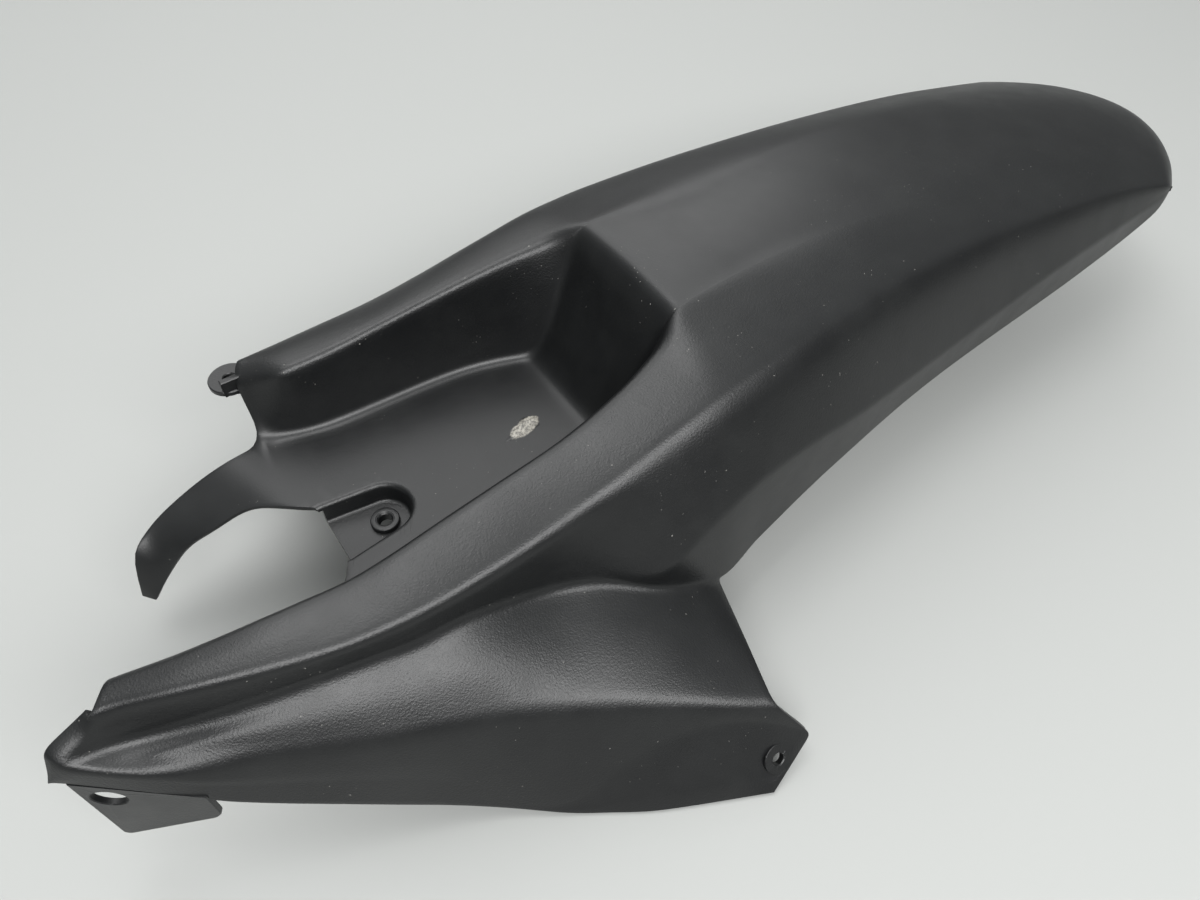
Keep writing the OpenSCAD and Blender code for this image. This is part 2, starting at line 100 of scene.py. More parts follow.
def placed(point):
    """A point in millimetres from the wheel's middle plane, in the frame of the floor screw's boss"""
    return (Vector(point) + wheel_to_boss) * MM


def station(s):
    """-1 is the nose, 0 the floor screw, 1 the rear edge of the pocket and 2 the tail corners"""
    if s < 0:
        return s * nose_reach
    return s * pocket_len if s < 1 else pocket_len + (s - 1) * tail_len


def rail(shape, half_width, height):
    """The knots of a rail, given as stations with their shares of a half width and of a height"""
    return [(station(s), width * half_width, rise * height) for s, width, rise in shape]


def curve(knots, x):
    """The width and height of a smooth rail at x"""
    if x <= knots[0][0] or x >= knots[-1][0]:
        end = knots[0] if x <= knots[0][0] else knots[-1]
        return end[1], end[2]
    i = max(k for k in range(len(knots) - 1) if knots[k][0] <= x)
    length = knots[i + 1][0] - knots[i][0]
    t = (x - knots[i][0]) / length

    def slope(k, axis):
        a, b = knots[max(k - 1, 0)], knots[min(k + 1, len(knots) - 1)]
        return (b[axis] - a[axis]) / (b[0] - a[0]) * length

    return tuple(
        (2 * t**3 - 3 * t**2 + 1) * knots[i][axis] + (t**3 - 2 * t**2 + t) * slope(i, axis)
        + (3 * t**2 - 2 * t**3) * knots[i + 1][axis] + (t**3 - t**2) * slope(i + 1, axis)
        for axis in (1, 2))


rim = rail([(-0.82, 0.79, 0.5), (-0.6, 0.91, 0.63), (-0.44, 0.98, 0.71), (-0.23, 1.02, 0.7),
            (-0.08, 1.03, 0.79), (0.1, 1, 0.87), (0.33, 0.98, 1), (0.55, 0.96, 1.13), (0.78, 0.9, 1.32),
            (1, 0.79, 1.55)],
           pocket_w / 2, rim_h)
rim += rail([(1.045, 0.56, 0.95), (1.18, 0.56, 0.96), (1.34, 0.6, 0.93), (1.53, 0.64, 0.83),
             (1.7, 0.64, 0.66), (1.86, 0.62, 0.44), (2, 0.58, 0.22), (2.1, 0.54, 0.02)],
            waist_w / 2, crown_h)
ridge = rail([(-0.86, 0.63, 0.38), (-0.67, 0.77, 0.4), (-0.35, 0.93, 0.35), (-0.11, 0.99, 0.35),
              (0.12, 1, 0.38), (0.35, 0.99, 0.44), (0.59, 0.966, 0.59), (0.84, 0.927, 0.77)],
             arm_w / 2, ridge_h)
ridge += rail([(1.03, 1.16, 0.91), (1.17, 1.08, 1), (1.32, 1.02, 0.99), (1.5, 1, 0.86), (1.71, 1, 0.6),
               (1.88, 1.01, 0.29)],
              waist_w / 2, ridge_h)
ridge += rail([(2, 1, 0)], tail_w / 2, ridge_h)
tail_hem = rail([(1.96, 1.02, -0.17), (2.005, 1.01, -0.03)], tail_w / 2, skirt_drop)
crest = rail([(-0.995, 0.685, 0.04), (-0.84, 0.7, -0.05), (-0.58, 0.84, -0.01), (-0.38, 0.925, 0.01),
              (-0.23, 0.97, 0), (-0.13, 0.995, -0.02), (0, 1, -0.02), (0.32, 1.015, -0.16),
              (0.49, 1.09, -0.22), (0.67, 1.22, -0.33)],
             arm_w / 2, skirt_drop)
crest += rail([(0.94, 1.05, -0.5), (1.06, 0.985, -0.5), (1.2, 0.9, -0.44), (1.43, 0.785, -0.4),
               (1.78, 0.72, -0.3)],
              hem_w / 2, skirt_drop)
crest += tail_hem
edge = rail([(-1, 0.315, 0.005), (-0.82, 0.395, -0.1), (-0.58, 0.47, -0.16), (-0.33, 0.55, -0.23),
             (-0.03, 0.62, -0.315), (0.25, 0.69, -0.4), (0.38, 0.735, -0.44), (0.81, 0.885, -0.6)],
            skirt_reach, skirt_drop)
hem = rail([(-1.04, 0.3, -0.095), (-0.86, 0.39, -0.23), (-0.72, 0.455, -0.38), (-0.4, 0.575, -0.66),
            (-0.22, 0.64, -0.82), (-0.08, 0.7, -0.93), (0.07, 0.775, -0.99), (0.18, 0.82, -1),
            (0.32, 0.878, -1), (0.71, 1, -1)],
           skirt_reach, skirt_drop)
right_hem = rail([(-0.16, 0.87, -0.74), (0.15, 0.95, -0.95), (0.48, 1, -1), (0.56, 1, -1), (1.38, 1, -1),
                  (1.44, 1, -1), (1.52, 0.93, -0.9), (1.64, 0.8, -0.6)],
                 right_reach, skirt_drop)
right_hem += rail([(1.78, 0.72, -0.3)], hem_w / 2, skirt_drop) + tail_hem
floor_edge = rail([(-0.31, 1.32, -1), (-0.2, 1.55, -1), (-0.1, 1.48, -1), (0.02, 1.37, -1), (0.56, 1.26, -1),
                   (0.82, 1, -1), (1, 0.66, -1), (2.1, 0.55, -1)],
                  floor_w / 2, floor_drop)
crown = rail([(1, 0, 0.86), (1.045, 0, 0.98), (1.18, 0, 1), (1.34, 0, 0.98), (1.53, 0, 0.89), (1.71, 0, 0.74),
              (1.86, 0, 0.54), (2, 0, 0.33), (2.13, 0, 0.05)],
             1, crown_h)

# The tongue hangs in front of the pocket floor between two long edges
tongue_root = station(-0.2)
tongue_middle = 57
tongue_outer = [(tongue_root - x * tongue_len, y * tongue_middle, z * tongue_drop - floor_drop)
                for x, y, z in ((1.03, 0.82, -0.92), (0.985, 0.865, -0.54), (0.82, 0.985, -0.34),
                                (0.56, 1.025, -0.155), (0.28, 1.03, -0.02), (0, 1.053, 0))]
tongue_inner = [(tongue_root - x * tongue_len, tongue_middle - y * tongue_w, z * tongue_drop - floor_drop)
                for x, y, z in ((0.97, 0.64, -0.95), (0.84, 0.7, -0.69), (0.68, 0.8, -0.4), (0.5, 1, -0.22),
                                (0.26, 1.2, -0.06), (0.08, 1.68, 0), (-0.1, 2.17, 0))]

# The rear wall of the pocket rises from a round foot to a round top
wall_foot_x = station(0.82)
wall_top_x = station(1.05)
ramp_round = 0.22
top_start_share = 0.93
top_share = 0.72
top_share_line = [(wall_top_x, top_start_share, 0), (station(1.2), top_share, 0)]


def ramp(t):
    """A rise from 0 to 1 with a round foot and a round top"""
    v = min(max(t, 0), 1)
    gain = 1 / (1 - ramp_round)
    if v < ramp_round:
        return gain * v * v / (2 * ramp_round)
    if v > 1 - ramp_round:
        return 1 - gain * (1 - v) ** 2 / (2 * ramp_round)
    return gain * (v - ramp_round / 2)


def panel(x, share):
    """A point of the pocket floor, its rear wall or the tail's top; the share is negative on the left"""
    floor_y = curve(floor_edge, x)[0]
    side_y, side_z = curve(rim, x)
    middle = curve(crown, x)[1]
    t = ramp((x - wall_foot_x) / (wall_top_x - wall_foot_x))
    top = middle + (side_z - middle) * share * share
    return Vector((x, share * (floor_y + (side_y * curve(top_share_line, x)[0] - floor_y) * t),
                   -floor_drop + (top + floor_drop) * t))


right_front_share = 0.12
left_front_share = -0.47
wall_foot_share = 0.36


def inner_share(x, front_share):
    """The two middle lines of the floor start beside the gap in front and are even at the rear wall"""
    t = min(max((x + floor_reach) / (wall_foot_x + floor_reach), 0), 1)
    return front_share + (math.copysign(wall_foot_share, front_share) - front_share) * t


def left(knots, x):
    y, z = curve(knots, x)
    return Vector((x, -y, z))


def right(knots, x):
    y, z = curve(knots, x)
    return Vector((x, y, z))


def between(a, b, share, inward):
    """A point between two rails, drawn in toward the wheel"""
    side = math.copysign(1, a.y)
    return Vector((a.x, a.y + (b.y - a.y) * share - side * inward, a.z + (b.z - a.z) * share))


# The crease on the tail's side, where the slope above turns down into an upright band along the hem
right_crease_x = station(0.95)
crease_out = 12
crease_line = [(station(s), share, -out * crease_out)
               for s, share, out in (
                   (-0.33, 0.6, 0), (0.35, 0.62, 0), (0.58, 0.88, 0.1), (0.7, 0.77, 0.55), (0.89, 0.52, 0.85),
                   (1.05, 0.47, 1), (1.16, 0.53, 1), (1.25, 0.59, 1), (1.38, 0.64, 0.85), (1.53, 0.62, 0.72),
                   (1.7, 0.52, 0.65), (1.84, 0.48, 0.45), (1.99, 0.5, 0))]

# The fold across the flap runs in an arc and is up to 3 mm deep
flap_line = [(station(s), share, inward)
             for s, share, inward in (
                 (-0.3, 0.6, 0), (0.02, 0.9, 0), (0.18, 0.77, 1.5), (0.28, 0.6, 2.5), (0.39, 0.46, 3),
                 (0.49, 0.37, 3), (0.64, 0.28, 3), (0.76, 0.28, 2.5), (0.84, 0.4, 1.5), (0.92, 0.63, 0))]

# The right rim flares out in front, the right ridge is a little raised, and the left arm has an inner flange
flare_start = station(-0.08)
flare_end = station(-0.2)
flare_out = 19
flare_drop = 8
rise_h = 3
rise_end = station(0.6)
flange_front = station(-0.8)
flange_back = station(-0.31)
flange_h = 8
flange_in = 2
flange_lean = 5


def inner_flange(x):
    """The inner wall of the left arm gets lower toward the nose"""
    top = left(rim, x)
    t = max((x - flange_front) / (flange_back - flange_front), 0)
    foot_z = top.z - flange_h
    return Vector((x, top.y + flange_in + flange_lean * t, foot_z - (foot_z + floor_drop) * t))


def right_ridge(x):
    lift = rise_h * min(max((rise_end - x) / (rise_end - flare_start), 0), 1)
    return right(ridge, x) + Vector((0, 0, lift))


def right_rim(x):
    flare = min(max((x - flare_start) / (flare_end - flare_start), 0), 1)
    return right(rim, x) + Vector((0, flare_out, -flare_drop)) * flare


# The rails across the skin, from the hem of the right side over the tail to the hem of the left skirt.
# The halves between the feet of the pocket walls are extra lines on the floor and the tail's top.
RIGHT_HEM, RIGHT_CREASE, RIGHT_RIDGE, RIGHT_RIM, RIGHT_FOOT, RIGHT_MID = range(6)
LEFT_MID, LEFT_FOOT, LEFT_RIM, LEFT_RIDGE, LEFT_CREASE, CREST, EDGE, FLAP, HEM = range(6, 15)
lines = [RIGHT_HEM, RIGHT_CREASE, RIGHT_RIDGE, RIGHT_RIM, RIGHT_FOOT, 4.5, RIGHT_MID, 5.5, LEFT_MID, 6.5,
         LEFT_FOOT, LEFT_RIM, LEFT_RIDGE, LEFT_CREASE, CREST, EDGE, FLAP, HEM]


def skin_point(line, x):
    """The point of the skin's outer face on the given line at x"""
    if RIGHT_FOOT <= line <= LEFT_FOOT:
        if line == LEFT_FOOT and x < flange_back:
            return inner_flange(x)
        shares = [1, inner_share(x, right_front_share), inner_share(x, left_front_share), -1]
        low = min(int(line - RIGHT_FOOT), 2)
        return panel(x, shares[low] + (shares[low + 1] - shares[low]) * (line - RIGHT_FOOT - low))
    if line == RIGHT_HEM:
        return right(right_hem, x)
    if line == RIGHT_CREASE:
        share, inward = curve(crease_line, max(x, right_crease_x))
        fade = min(max(x / right_crease_x, 0), 1)
        return between(right(ridge, x), right(right_hem, x), share, inward * fade)
    if line == RIGHT_RIDGE:
        return right_ridge(x)
    if line == RIGHT_RIM:
        return right_rim(x)
    if line == LEFT_CREASE:
        return between(left(ridge, x), left(crest, x), *curve(crease_line, x))
    if line == FLAP:
        return between(left(edge, x), left(hem, x), *curve(flap_line, x))
    return left({LEFT_RIM: rim, LEFT_RIDGE: ridge, CREST: crest, EDGE: edge, HEM: hem}[line], x)


def tail_end_x(share):
    return station(2) + tail_bow * (1 - (2 * share) ** 2)


# Where each rail starts, passes the floor's front, the foot and the top of the rear wall, and ends
nose_line = [station(s) for s in [0] * 6 + [-0.8, -0.8, -0.82, -0.865, -0.93, -0.995, -1, -1.02, -1.04]]
front_line = [station(-0.16), station(-0.15), station(-0.15), station(-0.2), station(-0.2), -floor_reach,
              -floor_reach, flange_back] + [station(-0.33)] * 7
foot_line = [station(s) for s in [0.82] * 9 + [0.84, 0.9, 0.94, 0.81, 0.92, 0.71]]
top_line = [station(1.08)] * (HEM + 1)
end_half = [station(1.994), station(1.997), station(2), tail_end_x(0.29), tail_end_x(0.2), tail_end_x(0.07)]
end_line = end_half + end_half[::-1] + [0, 0, 0]
# The small facet that closes the nose of the left arm
facet_edge = rail([(-0.855, 0.255, 0.142), (-0.93, 0.265, 0.1), (-1.012, 0.275, 0.058), (-1.025, 0.288, 0),
                   (-1.035, 0.295, -0.047), (-1.05, 0.298, -0.1)],
                  skirt_reach, skirt_drop)


def line_x(bound, line):
    low = int(line)
    return bound[low] if line == low else (bound[low] + bound[low + 1]) / 2


def sheet_row(start, end, t):
    return {n: skin_point(n, line_x(start, n) + (line_x(end, n) - line_x(start, n)) * t) for n in lines}


def along(knots, end_x, t):
    x = knots[0][0] + (end_x - knots[0][0]) * t
    return Vector((x, *curve(knots, x)))


def front_row(t):
    """The tongue and the left arm lie side by side in front of the floor"""
    row = {}
    for n in lines:
        if n <= RIGHT_FOOT:
            row[n] = along(tongue_outer, front_line[RIGHT_FOOT], t)
        elif n < LEFT_FOOT:
            row[n] = along(tongue_inner, front_line[RIGHT_MID], t)
        else:
            row[n] = skin_point(n, nose_line[n] + (front_line[n] - nose_line[n]) * t)
    return row


def facet_row():
    row = {}
    for n in lines:
        x, y, z = facet_edge[max(int(n) - LEFT_RIDGE, 0)]
        row[n] = Vector((x, -y, z))
    return row


front_count, pocket_count, wall_count, tail_count = 16, 22, 16, 46
stretches = [(0, facet_row())]
stretches += [(0, front_row(k / front_count)) for k in range(front_count)]
stretches += [(0, sheet_row(front_line, foot_line, k / pocket_count)) for k in range(pocket_count)]
stretches += [(0, sheet_row(foot_line, top_line, k / wall_count)) for k in range(wall_count)]
stretches += [(k / tail_count, sheet_row(top_line, end_line, k / tail_count)) for k in range(tail_count + 1)]
first_pocket = 1 + front_count
first_wall = first_pocket + pocket_count

# How long each round is, from the front to the end of the tail
rounds = {LEFT_RIM: (7, 18), RIGHT_RIM: (7, 18), LEFT_RIDGE: (6, 12), RIGHT_RIDGE: (12, 20), EDGE: (8, 8),
          FLAP: (3, 3), LEFT_FOOT: (6, 6), RIGHT_FOOT: (6, 6), CREST: (5, 5), LEFT_CREASE: (3, 3),
          RIGHT_CREASE: (3, 3)}
round_steps = 4
round_share = 0.42
# How far the faces between two rails stand out, so that no wide face is quite flat
swell = {RIGHT_RIDGE: 0.5, LEFT_RIM: 0.5, CREST: 1.2, EDGE: 0.4}
narrow_face = 4
# The tail's shoulders, whose sides stand out by a share of their height
shoulder_swell = 0.12
shoulder_round = 2.5
shoulder_start, shoulder_full = station(0.5), station(1.1)


def bend(before, corner, after, length):
    """A round between two faces, which takes up no more than a share of either"""
    start = corner + (before - corner).normalized() * min(length, round_share * (before - corner).length)
    end = corner + (after - corner).normalized() * min(length, round_share * (after - corner).length)
    steps = [k / round_steps for k in range(round_steps + 1)]
    return [(1 - t) ** 2 * start + 2 * t * (1 - t) * corner + t**2 * end for t in steps]


def shoulder(before, corner, after):
    """The tail's shoulder: a crisp line along the top, and a side that gets steeper as it goes down"""
    chord = after - corner
    outward = Vector((0, math.copysign(chord.z, corner.y), abs(chord.y)))
    hump = corner + 0.25 * chord + outward.normalized() * shoulder_swell * chord.length
    start = corner + (before - corner).normalized() * min(shoulder_round, 0.3 * chord.length)
    steps = (0.05, 0.16, 0.3, 0.46)
    return [start] + [(1 - t) ** 2 * corner + 2 * t * (1 - t) * hump + t**2 * after for t in steps]


def full_row(fade, row, tail):
    """All the points across one row, and the rail that each of them belongs to"""
    points, owners = [], []
    for place, n in enumerate(lines):
        if n in rounds:
            front_length, tail_length = rounds[n]
            growth = 2 * fade if n in (RIGHT_RIM, LEFT_RIM) else fade
            length = front_length + (tail_length - front_length) * min(1, growth)
            before, corner, after = row[lines[place - 1]], row[n], row[lines[place + 1]]
            if n == CREST and tail:
                after = 2 * corner - before
            new = bend(before, corner, after, length)
            share = min(max((corner.x - shoulder_start) / (shoulder_full - shoulder_start), 0), 1)
            if n == LEFT_RIDGE:
                new = [a.lerp(b, share) for a, b in zip(new, shoulder(before, corner, after))]
            if n == RIGHT_RIDGE:
                new = [a.lerp(b, share) for a, b in zip(new, shoulder(after, corner, before)[::-1])]
        else:
            new = [row[n]]
        if points and not RIGHT_FOOT < n <= LEFT_FOOT:
            across = new[0] - points[-1]
            out = Vector((0, across.z, -across.y))
            outward = out.normalized() if out.length > narrow_face else Vector()
            rise = swell.get(lines[place - 1], 0) * outward
            points.append((points[-1] + new[0]) / 2 + rise)
            owners.append(lines[place - 1] + 0.5)
        points += new
        owners += [n] * len(new)
    return points, owners


rows = [full_row(fade, row, number >= first_wall)[0] for number, (fade, row) in enumerate(stretches)]
owners = full_row(*stretches[-1], True)[1]
tongue_start = owners.index(RIGHT_FOOT)
tongue_end = owners.index(RIGHT_MID)
arm_start = owners.index(LEFT_FOOT) + round_steps
facet_start = owners.index(LEFT_RIDGE) + round_steps
tail_stop = owners.index(CREST) + round_steps // 2
for number in range(1, first_pocket):
    outer_edge, inner_edge = stretches[number][1][RIGHT_FOOT], stretches[number][1][RIGHT_MID]
    for column in range(tongue_start, tongue_end + 1):
        t = (column - tongue_start) / (tongue_end - tongue_start)
        rows[number][column] = outer_edge.lerp(inner_edge, t)

# The two breaks behind the pocket's corners fade out along the tail, whose top is one smooth arch at the end
top_start = owners.index(RIGHT_RIDGE) + round_steps
top_stop = owners.index(LEFT_RIDGE)
smoothing_passes = 24
smoothing_rate = 2.2
for number, (fade, row) in enumerate(stretches):
    share = 0.5 * min(1, (smoothing_rate * fade) ** 2)
    for _ in range(smoothing_passes):
        old = list(rows[number])
        for column in range(top_start + 1, top_stop):
            middle = (old[column - 1] + old[column + 1]) / 2
            rows[number][column] = old[column].lerp(middle, share)
    if fade > 0:
        for column in range(top_start, top_stop + 1):
            point = rows[number][column]
            bow = tail_bow * max(0, 1 - (point.y / row[RIGHT_RIDGE].y) ** 2)
            point.x = top_line[0] + (station(2) + bow - top_line[0]) * fade

# The end of the tail rolls down in a soft lip, with round corners
lip_back = 0.6
lip_drop = 2.4
corner_back = 2.4
corner_in = 1.2
corner_columns = 3
for column, point in enumerate(rows[-1]):
    beyond = min(1, max(top_start - column, column - top_stop, 0) / round_steps)
    corner = max(0, 1 - max(0, min(column - top_start + 1, top_stop + 1 - column)) / corner_columns)
    inward = -corner_in * corner * math.copysign(1, point.y)
    rows[-1][column] = point + Vector((-lip_back - corner_back * corner, inward, -lip_drop * (1 - beyond)))


def on_skin(row, column):
    """False where the sheet has no skin: beside the tongue and the arm, and beyond the tail's hem"""
    if row == 0:
        return column >= facet_start
    if row < first_pocket:
        return tongue_start <= column < tongue_end or column >= arm_start
    return row < first_wall or column < tail_stop


def moved_grid(name, rows, keep=None):
    """A grid whose points are moved to the given rows; faces that keep refuses are deleted first"""
    down, across = len(rows) - 1, len(rows[0]) - 1
    bpy.ops.object.select_all(action="DESELECT")
    bpy.ops.mesh.primitive_grid_add(x_subdivisions=across, y_subdivisions=down, size=1)
    piece = bpy.context.object
    piece.name = name
    cells = [(round((v.co.y + 0.5) * down), round((v.co.x + 0.5) * across)) for v in piece.data.vertices]
    if keep:
        bpy.ops.object.mode_set(mode="EDIT")
        bpy.ops.mesh.select_mode(type="FACE")
        bpy.ops.mesh.select_all(action="DESELECT")
        bpy.ops.object.mode_set(mode="OBJECT")
        for face in piece.data.polygons:
            face.select = not keep(int((face.center.y + 0.5) * down), int((face.center.x + 0.5) * across))
        bpy.ops.object.mode_set(mode="EDIT")
        bpy.ops.mesh.delete(type="FACE")
        bpy.ops.object.mode_set(mode="OBJECT")
        cells = [(round((v.co.y + 0.5) * down), round((v.co.x + 0.5) * across)) for v in piece.data.vertices]
    for vertex, (row, column) in zip(piece.data.vertices, cells):
        vertex.co = placed(rows[row][column])
    return piece, cells


def finish_with(piece, kind, **settings):
    """Adds a modifier and applies it"""
    modifier = piece.modifiers.new(kind.lower(), kind)
    for setting, value in settings.items():
        setattr(modifier, setting, value)
    bpy.context.view_layer.objects.active = piece
    bpy.ops.object.modifier_apply(modifier=modifier.name)


skin, skin_cells = moved_grid("mudguard_moulding", rows, on_skin)
# The grain of the mould is coarse on the arms, the crest and the skirt, and fine on the floor and the tail
floor_grain = 0.35
grain_loss = 0.5
grain = skin.data.attributes.new("grain", "FLOAT", "POINT")
for number, (row, column) in enumerate(skin_cells):
    coarse = floor_grain if RIGHT_FOOT <= owners[column] <= LEFT_FOOT else 1
    toward_tail = max(0, row - first_wall) / (len(rows) - first_wall)
    grain.data[number].value = coarse * (1 - grain_loss * toward_tail)

# The skin gets its thickness on the inside, and its cut edges are a little round
edge_round = 0.5
edge_angle = math.radians(50)
finish_with(skin, "SUBSURF", levels=1, render_levels=1, boundary_smooth="PRESERVE_CORNERS")
finish_with(skin, "SOLIDIFY", thickness=wall * MM, offset=-1, use_even_offset=False)
finish_with(skin, "BEVEL", width=edge_round * MM, segments=2, limit_method="ANGLE", angle_limit=edge_angle,
            use_clamp_overlap=False)

# The recess in the pocket floor: a cup that is moulded in one with the floor and is open to the front.
# Its lip and its foot are round, and its walls lean out a little so that the part leaves the mould.
recess_w = 27
recess_mouth_w = 33
lip_round = 3
foot_round = 2
draft = 0.5
recess_floor_z = -floor_drop - recess_depth
arc_steps = 24


def recess_outline(grow, z, front):
    """The plan of the recess, widened by grow: a round rear end and straight sides out to the front"""
    radius = recess_w / 2 + grow
    mouth = recess_mouth_w / 2 + grow
    lean = math.asin((recess_mouth_w - recess_w) / 2 / floor_reach)
    points = [(front, -floor_hole_y - mouth, z), (-floor_reach, -floor_hole_y - mouth, z)]
    for k in range(arc_steps + 1):
        turn = (math.pi - 2 * lean) * k / arc_steps - math.pi / 2 + lean
        points.append((radius * math.cos(turn), -floor_hole_y + radius * math.sin(turn), z))
    return points + [(-floor_reach, -floor_hole_y + mouth, z), (front, -floor_hole_y + mouth, z)]


def lofted(name, rings):
    """A closed solid whose sections are the given rings of points, from its lower end to its upper end"""
    piece, _ = moved_grid(name, [ring + ring[:1] for ring in rings])
    bpy.ops.object.mode_set(mode="EDIT")
    bpy.ops.mesh.select_mode(type="VERT")
    bpy.ops.mesh.select_all(action="SELECT")
    bpy.ops.mesh.remove_doubles(threshold=0.01 * MM)
    bpy.ops.mesh.select_all(action="DESELECT")
    bpy.ops.mesh.select_non_manifold()
    bpy.ops.mesh.fill_holes(sides=0)
    bpy.ops.mesh.select_all(action="SELECT")
    bpy.ops.mesh.normals_make_consistent(inside=False)
    bpy.ops.object.mode_set(mode="OBJECT")
    return piece


def mould_with(tool, how):
    """Joins a solid to the skin, or cuts it out of the skin"""
    finish_with(skin, "BOOLEAN", object=tool, operation=how, solver="EXACT")
    bpy.data.objects.remove(tool, do_unlink=True)


cup_soft = 1
cup_rings = [recess_outline(wall - cup_soft, recess_floor_z - wall, -floor_reach),
             recess_outline(wall, recess_floor_z - wall + cup_soft, -floor_reach),
             recess_outline(wall, -floor_drop - wall / 2, -floor_reach)]
mould_with(lofted("recess_cup", cup_rings), "UNION")
quarter = [math.pi / 2 * k / 5 for k in range(6)]
front_of_cut = -floor_reach - recess_mouth_w
foot_rings = [(-draft - foot_round * (1 - math.sin(a)), recess_floor_z + foot_round * (1 - math.cos(a)))
              for a in quarter]
lip_rings = [(lip_round * (1 - math.cos(a)), -floor_drop - lip_round * (1 - math.sin(a))) for a in quarter]
lip_rings.append((lip_round, -floor_drop + wall))
hollow_rings = [recess_outline(grow, z, front_of_cut) for grow, z in foot_rings + lip_rings]
mould_with(lofted("recess_hollow", hollow_rings), "DIFFERENCE")

# The screw boss in the recess: a low round seat with a soft edge, and a chamfer where the screw goes in.
# The middle of its top is the origin of the frame.
boss_d = 14
boss_soft = 0.6
boss_seat = boss_h - 0.25
floor_hole_d = 6.5
floor_chamfer = 0.8
circle_steps = 48


def turned(name, profile, at, how):
    """Joins or cuts a round solid, given as the radius and the height of each of its rings"""
    turns = [2 * math.pi * k / circle_steps for k in range(circle_steps)]
    rings = [[at(Vector((radius * math.cos(a), radius * math.sin(a), z))) for a in turns]
             for radius, z in profile]
    mould_with(lofted(name, rings), how)


def bore(name, radius, low, face, high, chamfer, at):
    """Cuts a round hole from low to high, with a chamfer where it meets the outer face"""
    wide, deep = chamfer
    profile = [(radius, low), (radius, face - deep), (radius + wide, face), (radius + wide, high)]
    turned(name, profile, at, "DIFFERENCE")


def at_boss(point):
    return point + Vector((0, -floor_hole_y, recess_floor_z))


boss = [(boss_d / 2, -wall / 2), (boss_d / 2, boss_h - boss_soft), (boss_d / 2 - 0.2, boss_h - 0.2),
        (boss_d / 2 - boss_soft, boss_h), (boss_d / 2 - 2.4, boss_h), (boss_d / 2 - 2.7, boss_seat),
        (0.6, boss_seat)]
turned("screw_boss", boss, at_boss, "UNION")
bore("floor_bore", floor_hole_d / 2, -2 * wall, boss_seat, 2 * boss_h, (floor_chamfer, floor_chamfer),
     at_boss)

# The flat pad of the flap's screw: a faint round face, proud of the skin on both sides, with a plain hole.
# It sits near the rear corner of the skirt and leans as the flap does there.
flap_hole_x = 100
flap_hole_d = 6
flap_pad_d = 15
pad_lift = 0.3
pad_soft = 0.3
pad_share = 0.583
flap_top = skin_point(FLAP, flap_hole_x)
flap_foot = left(hem, flap_hole_x)
flap_spot = flap_top.lerp(flap_foot, pad_share)
flap_tilt = math.atan2(flap_top.z - flap_foot.z, flap_top.y - flap_foot.y)


def at_flap(point):
    return Matrix.Rotation(flap_tilt, 3, "X") @ point + flap_spot


pad = [(flap_pad_d / 2, -wall - pad_lift), (flap_pad_d / 2, pad_lift - pad_soft),
       (flap_pad_d / 2 - pad_soft, pad_lift), (1, pad_lift)]
turned("flap_pad", pad, at_flap, "UNION")
bore("flap_bore", flap_hole_d / 2, -2 * wall, pad_lift, 2 * wall, (0.5, 0.4), at_flap)

# The round lug in front of the right arm: a flat ear on a web inside the arm, with a short upright rib.
# A cross wall stands between the web and the arm, and a screw hole goes down through the ear.
lug_reach = 31
lug_d = 21
lug_t = 3
lug_drop = 7.5
lug_hole_d = 6
ear_soft = 0.5
arm_shoulder = right(ridge, front_line[RIGHT_RIDGE])
lug_spot = Vector((-lug_reach, arm_shoulder.y - wall / 2, arm_shoulder.z - lug_drop - lug_t))
web_w = (lug_d - wall) / 2
seat = wall * 0.6
rib_h = lug_t + lug_drop - wall / 3
rib_end = lug_d / 2 - lug_t - wall
cross_wall_h = lug_t + lug_drop - wall * 0.6


def at_lug(point):
    return Vector(point) + lug_spot


def lug_block(name, low, high, soft=0.4):
    """Joins a box between two corners, with soft edges, to the lug"""
    rings = []
    for z, inset in ((low[2], soft), (low[2] + soft, 0), (high[2] - soft, 0), (high[2], soft)):
        x0, y0, x1, y1 = low[0] + inset, low[1] + inset, high[0] - inset, high[1] - inset
        rings.append([at_lug(corner) for corner in ((x0, y0, z), (x1, y0, z), (x1, y1, z), (x0, y1, z))])
    mould_with(lofted(name, rings), "UNION")


ear = [(lug_d / 2 - ear_soft, 0), (lug_d / 2, ear_soft), (lug_d / 2, lug_t - ear_soft),
       (lug_d / 2 - ear_soft, lug_t)]
turned("lug_ear", ear, at_lug, "UNION")
lug_block("lug_web", (0, -web_w - seat, 0), (lug_d, seat, lug_t))
lug_block("lug_rib", (-lug_t - wall, -web_w - wall / 6, 0), (rib_end, -web_w + wall, rib_h))
lug_block("lug_cross_wall", (lug_d / 2 - wall, -web_w, 0), (lug_d / 2, wall / 2, cross_wall_h))
bore("lug_bore", lug_hole_d / 2, -lug_t, lug_t, 3 * lug_t, (0.5, 0.5), at_lug)

# The tab under the nose: a flat plate inside the hem, with a large hole for a rubber grommet.
# Its lower front corner is round, and its rear corner is a wider heel.
tab_len = 47
tab_drop = 68
tab_t = 2.8
tab_hole_d = 14
tab_hole = (10, -26.5)
tab_top_front = -11
tab_top_back = -29
tab_soft = 0.5
heel_r = 8
heel_drop = 45.6
heel_turn = 75
corner_r = 3
tab_hem_front = left(hem, station(-1.013))
tab_hem_back = left(hem, station(-0.74))
tab_turn = math.atan2(tab_hem_front.y - tab_hem_back.y, tab_hem_back.x - tab_hem_front.x)
tab_spot = Vector((tab_hem_front.x, tab_hem_front.y + wall / 4, 0))


